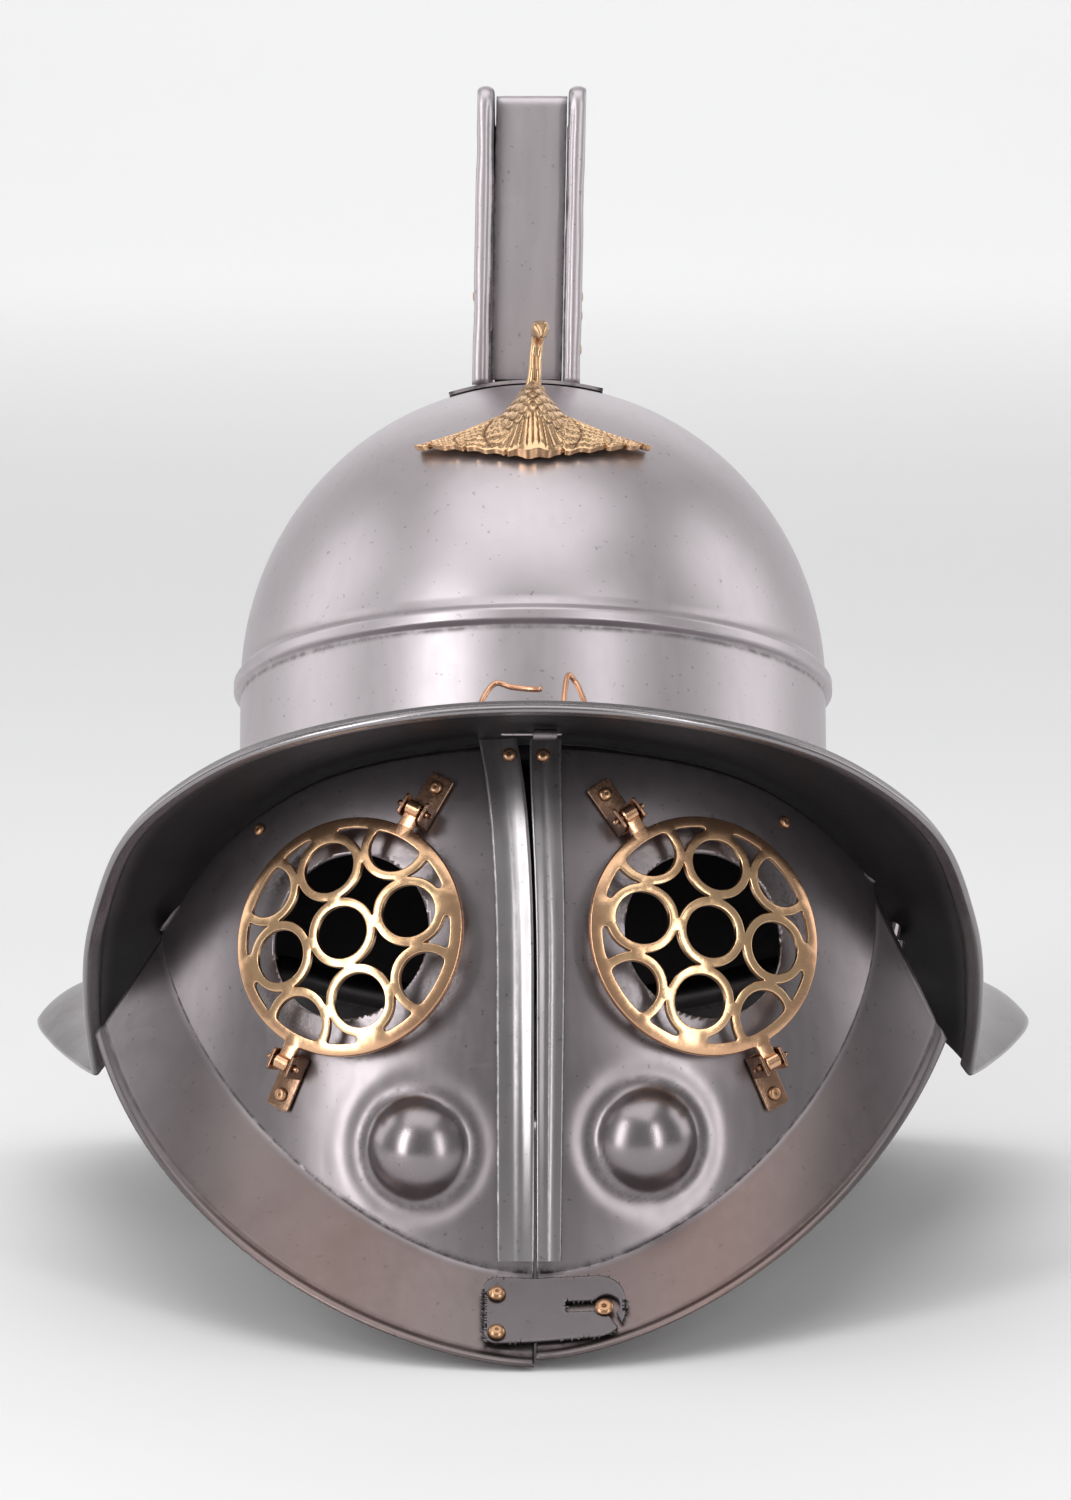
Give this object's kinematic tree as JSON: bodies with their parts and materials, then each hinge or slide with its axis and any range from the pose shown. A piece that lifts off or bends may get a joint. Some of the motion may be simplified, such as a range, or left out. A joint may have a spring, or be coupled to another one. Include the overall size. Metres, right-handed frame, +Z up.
{
  "type": "gladiator helmet",
  "caption": "Domed steel gladiator helmet with drooping brim, tall hollow crest, small brass bird and a hinged face guard in halves with pierced brass eye grilles",
  "frame": {"origin": "middle of the base rectangle of the whole helmet, on the surface it rests on", "axes": "+Z up, the face guard faces -Y, +X to the right of a person looking at the face; the helmet lies tipped back 21.5 degrees on its chin and neck guard, as it rests by itself"},
  "size_m": [0.3642, 0.3584, 0.4018],
  "materials": {
    "bright_steel": "satin brushed steel",
    "dark_steel": "darkened satin steel",
    "brass": "worn polished brass",
    "bronze": "tarnished bronze",
    "copper": "bent copper wire"
  },
  "bodies": {
    "helmet": {"bird": "brass", "bowl": "bright_steel", "brim": "dark_steel", "brim_lug": "dark_steel", "brim_wire_left": "copper", "brim_wire_right": "copper", "crest_base": "bright_steel", "crest_rivet_left_1": "brass", "crest_rivet_left_2": "brass", "crest_rivet_left_3": "brass", "crest_rivet_left_4": "brass", "crest_rivet_right_1": "brass", "crest_rivet_right_2": "brass", "crest_rivet_right_3": "brass", "crest_rivet_right_4": "brass", "crest_side_left": "bright_steel", "crest_side_right": "bright_steel", "crest_strip": "bright_steel", "hinge_pin_left": "dark_steel", "hinge_pin_right": "dark_steel", "lug_pin": "bright_steel"},
    "visor_left": {"bracket_left_lower": "bronze", "bracket_left_upper": "bronze", "bracket_rivet_left_lower": "brass", "bracket_rivet_left_upper": "brass", "grille_left": "brass", "grille_pin_left_lower": "bronze", "grille_pin_left_upper": "bronze", "hinge_rivet_left": "brass", "hinge_strap_left": "dark_steel", "latch_plate": "dark_steel", "latch_rivet_lower": "brass", "latch_rivet_upper": "brass", "seam_rivet_left": "brass", "seam_strip_left": "bright_steel", "visor_plate_left": "dark_steel"},
    "visor_right": {"bracket_right_lower": "bronze", "bracket_right_upper": "bronze", "bracket_rivet_right_lower": "brass", "bracket_rivet_right_upper": "brass", "grille_pin_right_lower": "bronze", "grille_pin_right_upper": "bronze", "grille_right": "brass", "hinge_rivet_right": "brass", "hinge_strap_right": "dark_steel", "latch_stud": "brass", "seam_rivet_right": "brass", "seam_strip_right": "bright_steel", "visor_plate_right": "dark_steel"}
  },
  "joints": [
    {"name": "visor_left_hinge", "type": "hinge", "parent": "helmet", "child": "visor_left", "pos_m": [-0.122, -0.04682, 0.10985], "axis": [0.2036, -0.1616, -0.9656], "range_deg": [0, 38]},
    {"name": "visor_right_hinge", "type": "hinge", "parent": "helmet", "child": "visor_right", "pos_m": [0.122, -0.04682, 0.10985], "axis": [0.2036, 0.1616, 0.9656], "range_deg": [0, 38]}
  ]
}
